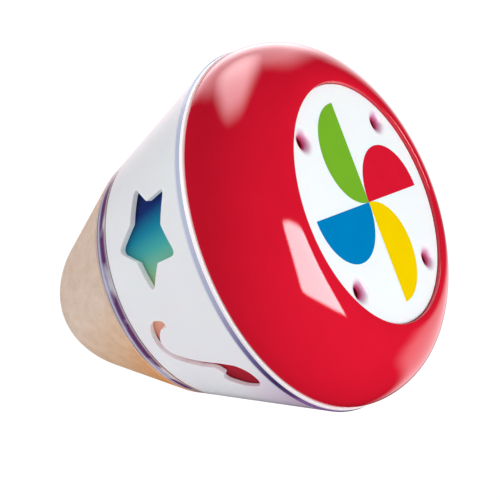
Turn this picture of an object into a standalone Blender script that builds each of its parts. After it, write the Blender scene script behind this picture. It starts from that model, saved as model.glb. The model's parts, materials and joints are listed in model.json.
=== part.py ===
"""A twist-to-play musical spinning top for toddlers, standing on its wooden foot with the cap up.

The red cap, its deck and the rainbow drum turn together about +Z. A gear on their spindle drives a small
musical movement: a pinned cylinder that plucks a comb, an idler, and an air-brake governor. The movement
stands on a pedestal that is screwed into the wooden base and clamps the window shell and the clear cover.
The origin is the centre of the foot, and all lengths are in metres.
"""

import math

import bmesh
import bpy
from mathutils import Matrix, Vector

MM = 0.001
GAP = 0.3 * MM  # between two pieces that touch
CUT = 1.0 * MM  # how far a cutter runs past the piece, or a boss into it
ROUND = 40  # sides of a large turned piece
MEDIUM_ROUND = 24  # sides of the spring barrel and the music cylinder
SMALL_ROUND = 10  # sides of a screw or an arbor

# Outer shape
FACE_Z = 109.5 * MM
FACE_R = 34.3 * MM
LIP_HEIGHT = 1.3 * MM
CAP_EDGE_Z = 89.4 * MM
CAP_WALL = 2.2 * MM
RIM_Z = 87.8 * MM
RIM_R = 53.0 * MM
CONE_SLOPE = math.tan(math.radians(19.24))
WOOD_TOP_Z = 42.2 * MM
WOOD_TOP_R = 37.0 * MM
WOOD_SLOPE_ANGLE = math.radians(27)
WOOD_SIDE = 32.1 * MM
WOOD_EDGE = 0.5 * MM
# Arcs as (normal angle from +Z where the arc ends, radius); the first one starts where the last line ended
CAP_ARCS = ((15, 11.3 * MM), (28, 15.2 * MM), (40, 29.6 * MM), (80, 19.3 * MM), (100, 14.2 * MM))
WOOD_ARCS = ((138, 40.9 * MM), (146, 16.8 * MM), (180, 2.5 * MM))

# Cover, window shell and drum, one inside the other
COVER_WALL = 2.1 * MM
SHELL_WALL = 2.1 * MM
DRUM_CLEARANCE = 0.7 * MM
DRUM_WALL = 1.3 * MM
DRUM_FLANGE = 1.5 * MM
DRUM_BORE = 37.0 * MM
COVER_FLANGE = 3.0 * MM
SHELL_FLANGE = 1.8 * MM
SHELL_TOP_Z = 87.4 * MM
FLANGE_R = 30.5 * MM
DRUM_BOTTOM_Z = 52.2 * MM
DRUM_TOP_Z = 87.5 * MM

# Windows: three stars and three notes in turn, upright when the top stands on its cap
WINDOW_Z = 67.0 * MM
STAR_ANGLE = -107
NOTE_ANGLE = -62
STAR_R = 15.5 * MM
STAR_INNER = 0.57
STAR_ROUNDING = 1.8 * MM
WINDOW_CUT_DEPTH = 8.0 * MM
# Note outline around the window's centre: across the shell and up it, towards the cap, in millimetres
NOTE_OUTLINE = (
    (5.5, 8.0), (6.6, 11.7), (9.9, 14.1), (14.0, 12.8), (15.5, 7.8), (13.9, 2.5), (11.5, 0.2), (8.8, 2.5),
    (5.9, -5.0), (3.8, -11.4), (-0.2, -15.5), (-5.0, -15.6), (-8.5, -13.4), (-9.9, -10.3), (-8.6, -6.2),
    (-7.1, -9.6), (-5.2, -11.8), (-2.6, -13.3), (0.2, -12.3), (2.2, -8.8), (3.9, -3.1),
)

# Cap
DISC_R = FACE_R - GAP
DISC_THICKNESS = 2.2 * MM
FLOOR_THICKNESS = 2.4 * MM
FLOOR_CORNER = 1.2 * MM
SCREW_RING = 29.2 * MM
RECESS_R = 3.4 * MM
WELL_R = 3.7 * MM
WELL_WALL = 1.4 * MM
WELL_BOTTOM_Z = 95.0 * MM
WELL_BOTTOM = 1.6 * MM
CAP_SCREW_LENGTH = 7.5 * MM
DECK_Z = 88.1 * MM
DECK_THICKNESS = 2.0 * MM
DECK_RIM_R = 52.7 * MM
DECK_RIM_THICKNESS = 1.1 * MM
DECK_SPIGOT_R = 49.2 * MM
DECK_SPIGOT_TOP = 93.0 * MM
DECK_SPIGOT_WALL = 1.6 * MM
DECK_BOSS_R = 4.0 * MM
HUB_R = 5.5 * MM
HUB_TOP = 93.0 * MM
DRUM_SCREW_RING = 40.0 * MM
DRUM_BOSS_R = 3.2 * MM
DRUM_BOSS_Z = 80.0 * MM
DRUM_SCREW_LENGTH = 8.0 * MM

# Wooden base and pedestal
RECESS_FLOOR_Z = 36.0 * MM
WOOD_WELL_R = 6.0 * MM
WOOD_WELL_Z = 30.0 * MM
WOOD_HOLE_Z = 19.0 * MM
SPIGOT_R = 30.2 * MM
PEDESTAL_TOP_Z = 50.0 * MM
PEDESTAL_FLOOR = 3.0 * MM
PEDESTAL_BORE = 24.5 * MM
PEDESTAL_FLANGE_R = 33.8 * MM
POST_R = 7.0 * MM
BASE_SCREW_RING = 16.0 * MM
BASE_SCREW_LENGTH = 19.0 * MM
BUSHING_R = 3.2 * MM

# Spindle and spring
SPINDLE_R = 2.0 * MM
SHOULDER_R = 4.2 * MM
SHOULDER_Z = 33.5 * MM
SHOULDER_HEIGHT = 2.5 * MM
SPINDLE_TOP = 97.0 * MM
SPINDLE_CHAMFER = 0.4 * MM
NUT_R, NUT_HEIGHT = 4.0 * MM, 2.4 * MM
WASHER_R = 4.0 * MM
BORE_PLAY = 0.15 * MM
BARREL_R = 14.5 * MM
BARREL_WALL = 1.2 * MM
BARREL_TOP = 66.0 * MM
LID_THICKNESS = 1.0 * MM
SPRING_INNER = 4.2 * MM
SPRING_OUTER = 12.4 * MM
SPRING_TURNS = 4
SPRING_STRIP = 0.5 * MM
SPRING_PLAY = 0.6 * MM

# Movement: plates, pillars and the gear train
PLATE_R = 31.5 * MM
PLATE_THICKNESS = 1.5 * MM
LOWER_PLATE_Z = PEDESTAL_TOP_Z + GAP
FRAME_Z = LOWER_PLATE_Z + PLATE_THICKNESS + GAP  # where a piece on the lower plate stands
UPPER_PLATE_Z = 82.0 * MM
LOWER_BORE, UPPER_BORE = 4.0 * MM, 7.0 * MM
PILLAR_R = 2.4 * MM
PILLAR_RING = 27.4 * MM
PILLAR_ANGLES = (30, 135, 290)
PILLAR_HOLE = 6.0 * MM
PILLAR_SCREW_LENGTH = 7.0 * MM
STUD_R = 1.1 * MM
STUD_BOTTOM_Z = 45.0 * MM
ARBOR_R = 1.0 * MM
PRESSURE_ANGLE = math.radians(20)
ADDENDUM = 0.8
DEDENDUM = 1.1
BACKLASH = 0.14 * MM
SUN_TEETH, CYLINDER_PINION_TEETH, DRIVE_MODULE = 30, 15, 1.0 * MM
CYLINDER_WHEEL_TEETH, IDLER_PINION_TEETH, IDLER_MODULE = 30, 12, 0.8 * MM
IDLER_WHEEL_TEETH, GOVERNOR_PINION_TEETH, GOVERNOR_MODULE = 30, 12, 0.6 * MM
SUN_Z, SUN_WIDTH = 70.0 * MM, 3.0 * MM
CYLINDER_WHEEL_Z, CYLINDER_WHEEL_WIDTH = 75.0 * MM, 1.6 * MM
IDLER_WHEEL_Z, IDLER_WHEEL_WIDTH = 78.4 * MM, 1.4 * MM
CYLINDER_DIRECTION = math.radians(180)
IDLER_DIRECTION = math.radians(-60)
GOVERNOR_DIRECTION = math.radians(-35)
COMB_DIRECTION = math.radians(60)

# Music cylinder, comb and governor fan
CYLINDER_R = 6.3 * MM
CYLINDER_BOTTOM = 53.6 * MM
CYLINDER_TOP = 68.6 * MM
PIN_HEIGHT = 0.7 * MM
PIN_ROOT = 0.5 * MM
PIN_WIDTH = 0.5 * MM
PIN_COUNT = 36
TONES = 12
TONE_PITCH = 1.15 * MM
COMB_Z = 54.2 * MM
COMB_THICKNESS = 0.9 * MM
COMB_TOOTH = 8.0 * MM
COMB_SLOT = 0.35 * MM
COMB_SPINE = 5.2 * MM
COMB_PIN_GAP = 0.4 * MM
COMB_SCREW_LENGTH = 5.0 * MM
BLOCK_DEPTH = 4.0 * MM
BLOCK_SETBACK = 0.4 * MM
FAN_R, FAN_HUB_R, BLADE_ROOT = 5.4 * MM, 1.9 * MM, 1.5 * MM
FAN_Z, FAN_HEIGHT = 56.0 * MM, 10.0 * MM
BLADE_HEIGHT, BLADE_THICKNESS = 9.0 * MM, 0.6 * MM

# Screws, as shank radius, head radius and head height
CAP_SCREW = (1.3 * MM, 2.9 * MM, 1.7 * MM)
BASE_SCREW = (1.4 * MM, 3.0 * MM, 1.6 * MM)
SMALL_SCREW = (0.9 * MM, 1.9 * MM, 1.2 * MM)

# Colours as (red, green, blue, alpha), roughness and metallic
RED_PLASTIC = ((0.72, 0.0, 0.02, 1), 0.12, 0)
WHITE_PLASTIC = ((0.86, 0.87, 0.88, 1), 0.3, 0)
CLEAR_PLASTIC = ((0.75, 0.78, 0.92, 0.25), 0.05, 0)
BEECH = ((0.72, 0.5, 0.33, 1), 0.6, 0)
RAINBOW = ((0.05, 0.35, 0.6, 1), 0.4, 0)
GREY_PLASTIC = ((0.35, 0.36, 0.38, 1), 0.5, 0)
BRASS = ((0.78, 0.57, 0.22, 1), 0.3, 1)
STEEL = ((0.6, 0.6, 0.62, 1), 0.25, 1)
NYLON = ((0.8, 0.8, 0.74, 1), 0.45, 0)


# Scene helpers

def clear_scene():
    for obj in list(bpy.data.objects):
        bpy.data.objects.remove(obj, do_unlink=True)


def new_collection(name):
    collection = bpy.data.collections.new(name)
    bpy.context.scene.collection.children.link(collection)
    return collection


def finish_material(name, finish):
    colour, roughness, metallic = finish
    material = bpy.data.materials.new(name)
    material.use_nodes = True
    shader = material.node_tree.nodes["Principled BSDF"]
    shader.inputs["Base Color"].default_value = colour
    shader.inputs["Alpha"].default_value = colour[3]
    shader.inputs["Roughness"].default_value = roughness
    shader.inputs["Metallic"].default_value = metallic
    material.diffuse_color = colour
    return material


def settled(obj):
    """The evaluated mesh of obj, in place; obj itself is removed."""
    graph = bpy.context.evaluated_depsgraph_get()
    mesh = bpy.data.meshes.new_from_object(obj.evaluated_get(graph))
    mesh.transform(obj.matrix_world)
    bpy.data.objects.remove(obj, do_unlink=True)
    return mesh


def add_mesh(name, mesh, finish, at=(0, 0)):
    """A named part whose origin is on the vertical line at, or a cutter where finish is None."""
    obj = bpy.data.objects.new(name, mesh)
    obj.location = (at[0], at[1], 0)
    if finish is None:
        cutters.objects.link(obj)
        obj.hide_render = True
        obj.display_type = "WIRE"
        return obj
    parts.objects.link(obj)
    mesh.shade_smooth()
    mesh.set_sharp_from_angle(angle=math.radians(35))
    mesh.materials.clear()
    mesh.materials.append(finish_material(name, finish))
    return obj


def turned(name, profile, finish, closed=False, at=(0, 0), steps=ROUND):
    """A body turned about Z from (radius, z) points that run down the outer side."""
    mesh = bpy.data.meshes.new(name + "_profile")
    edges = [(i, i + 1) for i in range(len(profile) - 1)]
    if closed:
        edges.append((len(profile) - 1, 0))
    mesh.from_pydata([(radius, 0, z) for radius, z in profile], edges, [])
    lathe = bpy.data.objects.new(name + "_lathe", mesh)
    bpy.context.scene.collection.objects.link(lathe)
    screw = lathe.modifiers.new("Turn", "SCREW")
    screw.steps = steps
    screw.render_steps = steps
    screw.use_merge_vertices = True
    screw.merge_threshold = 0.01 * MM
    return add_mesh(name, settled(lathe), finish, at)


def rod(name, radius, low, high, finish, at=(0, 0), steps=SMALL_ROUND):
    return turned(name, [(0, high), (radius, high), (radius, low), (0, low)], finish, at=at, steps=steps)


def tube(name, outer, inner, low, high, finish, at=(0, 0), steps=SMALL_ROUND):
    profile = [(inner, high), (outer, high), (outer, low), (inner, low)]
    return turned(name, profile, finish, closed=True, at=at, steps=steps)


def flat_curve(name, outlines, thickness, resolution=1):
    """A filled 2D curve in the XY plane: the first outline is the edge and the others are holes."""
    curve = bpy.data.curves.new(name, "CURVE")
    curve.dimensions = "2D"
    curve.fill_mode = "BOTH"
    curve.extrude = thickness / 2
    curve.resolution_u = resolution
    for outline in outlines:
        spline = curve.splines.new("POLY" if resolution == 1 else "BEZIER")
        points = spline.points if resolution == 1 else spline.bezier_points
        points.add(len(outline) - 1)
        for point, (x, y) in zip(points, outline):
            if resolution == 1:
                point.co = (x, y, 0, 1)
            else:
                point.co = (x, y, 0)
                point.handle_left_type = "AUTO"
                point.handle_right_type = "AUTO"
        spline.use_cyclic_u = True
    obj = bpy.data.objects.new(name, curve)
    bpy.context.scene.collection.objects.link(obj)
    bpy.context.view_layer.update()
    return obj


def welded_mesh(obj):
    """A curve's mesh with its loose caps joined to its sides."""
    mesh = settled(obj)
    shape = bmesh.new()
    shape.from_mesh(mesh)
    bmesh.ops.remove_doubles(shape, verts=shape.verts, dist=0.001 * MM)
    bmesh.ops.recalc_face_normals(shape, faces=shape.faces)
    shape.to_mesh(mesh)
    shape.free()
    return mesh


def plate(name, outlines, low, thickness, finish, at=(0, 0)):
    curve = flat_curve(name + "_outline", outlines, thickness)
    mesh = welded_mesh(curve)
    mesh.transform(Matrix.Translation((0, 0, low + thickness / 2)))
    return add_mesh(name, mesh, finish, at)


def boolean(obj, other, operation="DIFFERENCE"):
    modifier = obj.modifiers.new(other.name, "BOOLEAN")
    modifier.operation = operation
    modifier.object = other


def on_ring(radius, degrees):
    angle = math.radians(degrees)
    return (radius * math.cos(angle), radius * math.sin(angle))


def circle(radius, centre=(0, 0), steps=SMALL_ROUND):
    turns = [2 * math.pi * i / steps for i in range(steps)]
    return [(centre[0] + radius * math.cos(a), centre[1] + radius * math.sin(a)) for a in turns]


def arc_chain(start, start_angle, arcs, inset=0, pieces=2):
    """Points along tangent arcs from start, moved inwards by inset; angles are of the normal from +Z."""
    radius, z = start
    angle = math.radians(start_angle)
    points = [(radius - inset * math.sin(angle), z - inset * math.cos(angle))]
    for end, bend in arcs:
        end = math.radians(end)
        for i in range(1, pieces + 1):
            a = angle + (end - angle) * i / pieces
            x = radius + bend * (math.sin(a) - math.sin(angle))
            y = z + bend * (math.cos(a) - math.cos(angle))
            points.append((x - inset * math.sin(a), y - inset * math.cos(a)))
        radius += bend * (math.sin(end) - math.sin(angle))
        z += bend * (math.cos(end) - math.cos(angle))
        angle = end
    return points


def cone_r(z, depth=0):
    """Radius of the cover's outer cone at z, less a horizontal depth."""
    return RIM_R - (RIM_Z - z) * CONE_SLOPE - depth


COVER_IN = COVER_WALL / math.cos(math.atan(CONE_SLOPE))
SHELL_OUT = COVER_IN + GAP
SHELL_IN = SHELL_OUT + SHELL_WALL / math.cos(math.atan(CONE_SLOPE))
DRUM_OUT = SHELL_IN + DRUM_CLEARANCE
DRUM_IN = DRUM_OUT + DRUM_WALL


def screw(name, size, head_z, length, finish, at):
    """A pan-head screw that points down, with the underside of its head at head_z."""
    shank, head, height = size
    flat_r, edge_height = head * 0.6, height * 0.45
    profile = [
        (0, head_z + height), (flat_r, head_z + height), (head, head_z + edge_height), (head, head_z),
        (shank, head_z), (shank, head_z - length + shank), (0, head_z - length),
    ]
    return turned(name, profile, finish, at=at, steps=SMALL_ROUND)


# Window outlines and their cutters

def star_outline():
    """A five-pointed star with one point along -Y and its corners rounded."""
    corners = []
    for i in range(10):
        radius = STAR_R if i % 2 == 0 else STAR_R * STAR_INNER
        angle = -math.pi / 2 + i * math.pi / 5
        corners.append(Vector((radius * math.cos(angle), radius * math.sin(angle))))
    outline = []
    for i, corner in enumerate(corners):
        before = (corners[i - 1] - corner).normalized() * STAR_ROUNDING
        after = (corners[(i + 1) % 10] - corner).normalized() * STAR_ROUNDING
        outline += [tuple(corner + before), tuple(corner + after)]
    return outline


def note_outline():
    return [(x * MM, y * MM) for x, y in NOTE_OUTLINE]


def window_cutter(name, outline, degrees, resolution):
    """A prism through the shell at degrees, square to its slope, with the outline's +Y towards the cap."""
    curve = flat_curve(name + "_outline", [outline], WINDOW_CUT_DEPTH, resolution)
    mesh = welded_mesh(curve)
    angle = math.radians(degrees)
    slope = math.atan(CONE_SLOPE)
    across = Vector((-math.sin(angle), math.cos(angle), 0))
    outward = Vector((math.cos(angle) * math.cos(slope), math.sin(angle) * math.cos(slope), -math.sin(slope)))
    up = outward.cross(across)
    radius = cone_r(WINDOW_Z, (SHELL_OUT + SHELL_IN) / 2)
    centre = Vector((radius * math.cos(angle), radius * math.sin(angle), WINDOW_Z))
    turn = Matrix((across, up, outward)).transposed().to_4x4()
    mesh.transform(Matrix.Translation(centre) @ turn)
    return add_mesh(name, mesh, None)


# Sub-parts of the base

def make_wooden_base():
    side_end = (
        WOOD_TOP_R - WOOD_SIDE * math.sin(WOOD_SLOPE_ANGLE),
        WOOD_TOP_Z - WOOD_SIDE * math.cos(WOOD_SLOPE_ANGLE),
    )
    start_angle = 90 + math.degrees(WOOD_SLOPE_ANGLE)
    side = arc_chain(side_end, start_angle, WOOD_ARCS)
    foot_r = side[-1][0]
    profile = [
        (0, WOOD_WELL_Z), (WOOD_WELL_R, WOOD_WELL_Z), (WOOD_WELL_R, RECESS_FLOOR_Z),
        (FLANGE_R, RECESS_FLOOR_Z), (FLANGE_R, WOOD_TOP_Z), (WOOD_TOP_R - WOOD_EDGE, WOOD_TOP_Z),
        (WOOD_TOP_R, WOOD_TOP_Z - WOOD_EDGE), *side[:-1], (foot_r, 0), (0, 0),
    ]
    base = turned("wooden_base", profile, BEECH)
    for i in range(3):
        at = on_ring(BASE_SCREW_RING, 90 + 120 * i)
        hole = rod(f"wood_hole_{i + 1}", BASE_SCREW[0] + GAP, WOOD_HOLE_Z, RECESS_FLOOR_Z + CUT, None, at)
        boolean(base, hole)


def make_pedestal():
    top = PEDESTAL_TOP_Z
    low = RECESS_FLOOR_Z + GAP
    flange_low = WOOD_TOP_Z + COVER_FLANGE + SHELL_FLANGE + 3 * GAP
    bore = BUSHING_R + BORE_PLAY
    profile = [
        (bore, top), (POST_R, top), (POST_R, low + PEDESTAL_FLOOR), (PEDESTAL_BORE, low + PEDESTAL_FLOOR),
        (PEDESTAL_BORE, top), (PEDESTAL_FLANGE_R, top), (PEDESTAL_FLANGE_R, flange_low),
        (SPIGOT_R, flange_low), (SPIGOT_R, low), (bore, low),
    ]
    pedestal = turned("pedestal", profile, GREY_PLASTIC, closed=True)
    floor_top = low + PEDESTAL_FLOOR
    for i in range(3):
        at = on_ring(BASE_SCREW_RING, 90 + 120 * i)
        hole = rod(f"pedestal_hole_{i + 1}", BASE_SCREW[0] + GAP, low - CUT, floor_top + CUT, None, at)
        boolean(pedestal, hole)
        screw(f"base_screw_{i + 1}", BASE_SCREW, floor_top + GAP, BASE_SCREW_LENGTH, STEEL, at)
    for i, degrees in enumerate(PILLAR_ANGLES):
        at = on_ring(PILLAR_RING, degrees)
        boolean(pedestal, rod(f"stud_hole_{i + 1}", STUD_R + GAP, STUD_BOTTOM_Z - CUT, top + CUT, None, at))
    tube("spindle_bushing", BUSHING_R, SPINDLE_R + BORE_PLAY, low, top, BRASS)


def make_clear_cover():
    low = WOOD_TOP_Z + GAP
    inner_low = low + COVER_FLANGE
    profile = [
        (cone_r(RIM_Z, COVER_IN), RIM_Z), (RIM_R, RIM_Z), (cone_r(low), low), (FLANGE_R, low),
        (FLANGE_R, inner_low), (cone_r(inner_low, COVER_IN), inner_low),
    ]
    turned("clear_cover", profile, CLEAR_PLASTIC, closed=True)


def make_window_shell():
    low = WOOD_TOP_Z + COVER_FLANGE + 2 * GAP
    inner_low = low + SHELL_FLANGE
    profile = [
        (cone_r(SHELL_TOP_Z, SHELL_IN), SHELL_TOP_Z), (cone_r(SHELL_TOP_Z, SHELL_OUT), SHELL_TOP_Z),
        (cone_r(low, SHELL_OUT), low), (FLANGE_R, low), (FLANGE_R, inner_low),
        (cone_r(inner_low, SHELL_IN), inner_low),
    ]
    shell = turned("window_shell", profile, WHITE_PLASTIC, closed=True)
    for i in range(3):
        star = window_cutter(f"star_window_{i + 1}", star_outline(), STAR_ANGLE + 120 * i, 1)
        note = window_cutter(f"note_window_{i + 1}", note_outline(), NOTE_ANGLE + 120 * i, 2)
        boolean(shell, star)
        boolean(shell, note)


# Sub-parts of the cap

def make_cap_shell():
    seat_z = FACE_Z - DISC_THICKNESS - GAP
    floor_z = seat_z - FLOOR_THICKNESS
    lip = (FACE_R, FACE_Z + LIP_HEIGHT)
    outer = arc_chain(lip, 0, CAP_ARCS, pieces=3)
    inner = arc_chain(lip, 0, CAP_ARCS, inset=CAP_WALL)
    wall = [point for point in reversed(inner) if CAP_EDGE_Z < point[1] < floor_z]
    outside = [point for point in outer if point[1] > CAP_EDGE_Z]
    edge_r = outer[-1][0]
    profile = [
        (0, seat_z), (FACE_R, seat_z), *outside, (edge_r, CAP_EDGE_Z), (edge_r - CAP_WALL, CAP_EDGE_Z),
        *wall, (wall[-1][0] - FLOOR_CORNER, floor_z), (0, floor_z),
    ]
    shell = turned("cap_shell", profile, RED_PLASTIC)
    for i in range(4):
        at = on_ring(SCREW_RING, 45 + 90 * i)
        well = rod(f"well_{i + 1}", WELL_R + WELL_WALL, WELL_BOTTOM_Z, floor_z + CUT, None, at)
        bottom = WELL_BOTTOM_Z + WELL_BOTTOM
        bore = rod(f"well_bore_{i + 1}", WELL_R, bottom, FACE_Z, None, at)
        hole = rod(f"well_hole_{i + 1}", CAP_SCREW[0] + GAP, WELL_BOTTOM_Z - CUT, bottom + CUT, None, at)
        boolean(shell, well, "UNION")
        boolean(shell, bore)
        boolean(shell, hole)
        screw(f"cap_screw_{i + 1}", CAP_SCREW, bottom + GAP, CAP_SCREW_LENGTH, STEEL, at)


def make_face_disc():
    outlines = [circle(DISC_R, steps=ROUND)]
    for i in range(4):
        outlines.append(circle(RECESS_R, on_ring(SCREW_RING, 45 + 90 * i), steps=16))
    plate("face_disc", outlines, FACE_Z - DISC_THICKNESS, DISC_THICKNESS, WHITE_PLASTIC)


def make_cap_deck():
    rim_top = DECK_Z + DECK_RIM_THICKNESS
    top = DECK_Z + DECK_THICKNESS
    hub_low = SUN_Z + SUN_WIDTH + GAP
    bore = SPINDLE_R + BORE_PLAY
    spigot_in = DECK_SPIGOT_R - DECK_SPIGOT_WALL
    profile = [
        (bore, HUB_TOP), (HUB_R, HUB_TOP), (HUB_R, top), (spigot_in, top),
        (spigot_in, DECK_SPIGOT_TOP), (DECK_SPIGOT_R, DECK_SPIGOT_TOP), (DECK_SPIGOT_R, rim_top),
        (DECK_RIM_R, rim_top), (DECK_RIM_R, DECK_Z), (HUB_R, DECK_Z), (HUB_R, hub_low), (bore, hub_low),
    ]
    deck = turned("cap_deck", profile, WHITE_PLASTIC, closed=True)
    for i in range(4):
        at = on_ring(SCREW_RING, 45 + 90 * i)
        boss = rod(f"deck_boss_{i + 1}", DECK_BOSS_R, DECK_Z + CUT, WELL_BOTTOM_Z - GAP, None, at)
        hole = rod(f"deck_hole_{i + 1}", CAP_SCREW[0] + GAP, DECK_Z - CUT, WELL_BOTTOM_Z + CUT, None, at)
        boolean(deck, boss, "UNION")
        boolean(deck, hole)
    for i in range(3):
        at = on_ring(DRUM_SCREW_RING, 30 + 120 * i)
        hole = rod(f"drum_screw_hole_{i + 1}", SMALL_SCREW[0] + GAP, DECK_Z - CUT, top + CUT, None, at)
        boolean(deck, hole)
        screw(f"drum_screw_{i + 1}", SMALL_SCREW, top + GAP, DRUM_SCREW_LENGTH, STEEL, at)


def make_color_drum():
    flange_low = DRUM_TOP_Z - DRUM_FLANGE
    profile = [
        (DRUM_BORE, DRUM_TOP_Z), (cone_r(DRUM_TOP_Z, DRUM_OUT), DRUM_TOP_Z),
        (cone_r(DRUM_BOTTOM_Z, DRUM_OUT), DRUM_BOTTOM_Z), (cone_r(DRUM_BOTTOM_Z, DRUM_IN), DRUM_BOTTOM_Z),
        (cone_r(flange_low, DRUM_IN), flange_low), (DRUM_BORE, flange_low),
    ]
    drum = turned("color_drum", profile, RAINBOW, closed=True)
    for i in range(3):
        at = on_ring(DRUM_SCREW_RING, 30 + 120 * i)
        boss = rod(f"drum_boss_{i + 1}", DRUM_BOSS_R, DRUM_BOSS_Z, flange_low + CUT, None, at)
        hole = rod(f"drum_hole_{i + 1}", SMALL_SCREW[0] + GAP, DRUM_BOSS_Z - CUT, DRUM_TOP_Z + CUT, None, at)
        boolean(drum, boss, "UNION")
        boolean(drum, hole)


def make_spindle():
    shoulder_top = SHOULDER_Z + SHOULDER_HEIGHT
    profile = [
        (0, SPINDLE_TOP), (SPINDLE_R - SPINDLE_CHAMFER, SPINDLE_TOP),
        (SPINDLE_R, SPINDLE_TOP - SPINDLE_CHAMFER),
        (SPINDLE_R, shoulder_top), (SHOULDER_R, shoulder_top), (SHOULDER_R, SHOULDER_Z), (0, SHOULDER_Z),
    ]
    turned("spindle", profile, STEEL, steps=SMALL_ROUND)
    bore = circle(SPINDLE_R + BORE_PLAY)
    plate("spindle_nut", [circle(NUT_R, steps=6), bore], HUB_TOP + GAP, NUT_HEIGHT, STEEL)
    washer_low = BARREL_TOP + LID_THICKNESS + 2 * GAP
    tube("spacer_washer", WASHER_R, SPINDLE_R + BORE_PLAY, washer_low, SUN_Z - GAP, NYLON)


# Spring

def make_spring():
    wall_low = FRAME_Z
    floor_top = wall_low + BARREL_WALL
    bore = SPINDLE_R + SPRING_PLAY
    profile = [
        (BARREL_R - BARREL_WALL, BARREL_TOP), (BARREL_R, BARREL_TOP), (BARREL_R, wall_low), (bore, wall_low),
        (bore, floor_top), (BARREL_R - BARREL_WALL, floor_top),
    ]
    turned("spring_barrel", profile, BRASS, closed=True, steps=MEDIUM_ROUND)
    lid_low = BARREL_TOP + GAP
    tube("barrel_lid", BARREL_R, bore, lid_low, lid_low + LID_THICKNESS, BRASS, steps=MEDIUM_ROUND)
    per_turn = 12
    count = SPRING_TURNS * per_turn
    outer, inner = [], []
    for i in range(count + 1):
        angle = 2 * math.pi * i / per_turn
        radius = SPRING_INNER + (SPRING_OUTER - SPRING_INNER) * i / count
        outer.append((radius * math.cos(angle), radius * math.sin(angle)))
        inner.append(((radius - SPRING_STRIP) * math.cos(angle), (radius - SPRING_STRIP) * math.sin(angle)))
    spring_low = floor_top + SPRING_PLAY
    plate("mainspring", [outer + inner[::-1]], spring_low, BARREL_TOP - SPRING_PLAY - spring_low, STEEL)


# Gear train

def gear_outline(teeth, module, turn):
    """Involute teeth with a tooth centred at the angle turn; chords stay inside the true flank."""
    pitch = teeth * module / 2
    base = pitch * math.cos(PRESSURE_ANGLE)
    root = pitch - DEDENDUM * module
    tip = pitch + ADDENDUM * module
    half_pitch = math.pi / (2 * teeth) - BACKLASH / (2 * pitch)
    involute = math.tan(PRESSURE_ANGLE) - PRESSURE_ANGLE

    def half_angle(radius):
        spread = math.acos(min(1, base / radius))
        return half_pitch + involute - (math.tan(spread) - spread)

    flank = [(root, half_angle(max(root, base))), (pitch, half_angle(pitch)), (tip, half_angle(tip))]
    outline = []
    for tooth in range(teeth):
        centre = turn + 2 * math.pi * tooth / teeth
        sides = [(radius, centre - half) for radius, half in flank]
        sides += [(radius, centre + half) for radius, half in reversed(flank)]
        outline += [(radius * math.cos(angle), radius * math.sin(angle)) for radius, angle in sides]
    return outline


def gear(name, teeth, module, turn, bore, low, width, at, finish=BRASS):
    outlines = [gear_outline(teeth, module, turn), circle(bore + BORE_PLAY)]
    plate(name, outlines, low, width, finish, at)


def next_centre(centre, teeth, next_teeth, module, direction):
    distance = (teeth + next_teeth) * module / 2
    return (centre[0] + distance * math.cos(direction), centre[1] + distance * math.sin(direction))


AXIS = (0, 0)
CYLINDER_AT = next_centre(AXIS, SUN_TEETH, CYLINDER_PINION_TEETH, DRIVE_MODULE, CYLINDER_DIRECTION)
IDLER_AT = next_centre(CYLINDER_AT, CYLINDER_WHEEL_TEETH, IDLER_PINION_TEETH, IDLER_MODULE, IDLER_DIRECTION)
GOVERNOR_AT = next_centre(
    IDLER_AT, IDLER_WHEEL_TEETH, GOVERNOR_PINION_TEETH, GOVERNOR_MODULE, GOVERNOR_DIRECTION
)


def make_gears():
    """Each pair: a wheel with a tooth towards its pinion, and the pinion with a gap towards the wheel."""
    pairs = (
        ("sun_gear", "cylinder_pinion", SUN_TEETH, CYLINDER_PINION_TEETH, DRIVE_MODULE, CYLINDER_DIRECTION,
         SUN_Z, SUN_WIDTH, AXIS, CYLINDER_AT, SPINDLE_R),
        ("cylinder_wheel", "idler_pinion", CYLINDER_WHEEL_TEETH, IDLER_PINION_TEETH, IDLER_MODULE,
         IDLER_DIRECTION, CYLINDER_WHEEL_Z, CYLINDER_WHEEL_WIDTH, CYLINDER_AT, IDLER_AT, ARBOR_R),
        ("idler_wheel", "governor_pinion", IDLER_WHEEL_TEETH, GOVERNOR_PINION_TEETH, GOVERNOR_MODULE,
         GOVERNOR_DIRECTION, IDLER_WHEEL_Z, IDLER_WHEEL_WIDTH, IDLER_AT, GOVERNOR_AT, ARBOR_R),
    )
    for wheel, pinion, teeth, pinion_teeth, module, direction, low, width, at, pinion_at, bore in pairs:
        gear(wheel, teeth, module, direction, bore, low, width, at)
        pinion_turn = direction + math.pi + math.pi / pinion_teeth
        gear(pinion, pinion_teeth, module, pinion_turn, ARBOR_R, low, width, pinion_at, STEEL)


def make_arbors():
    low = LOWER_PLATE_Z + GAP
    high = UPPER_PLATE_Z + PLATE_THICKNESS - GAP
    for name, at in (("cylinder", CYLINDER_AT), ("idler", IDLER_AT), ("governor", GOVERNOR_AT)):
        rod(name + "_arbor", ARBOR_R, low, high, STEEL, at)


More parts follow.
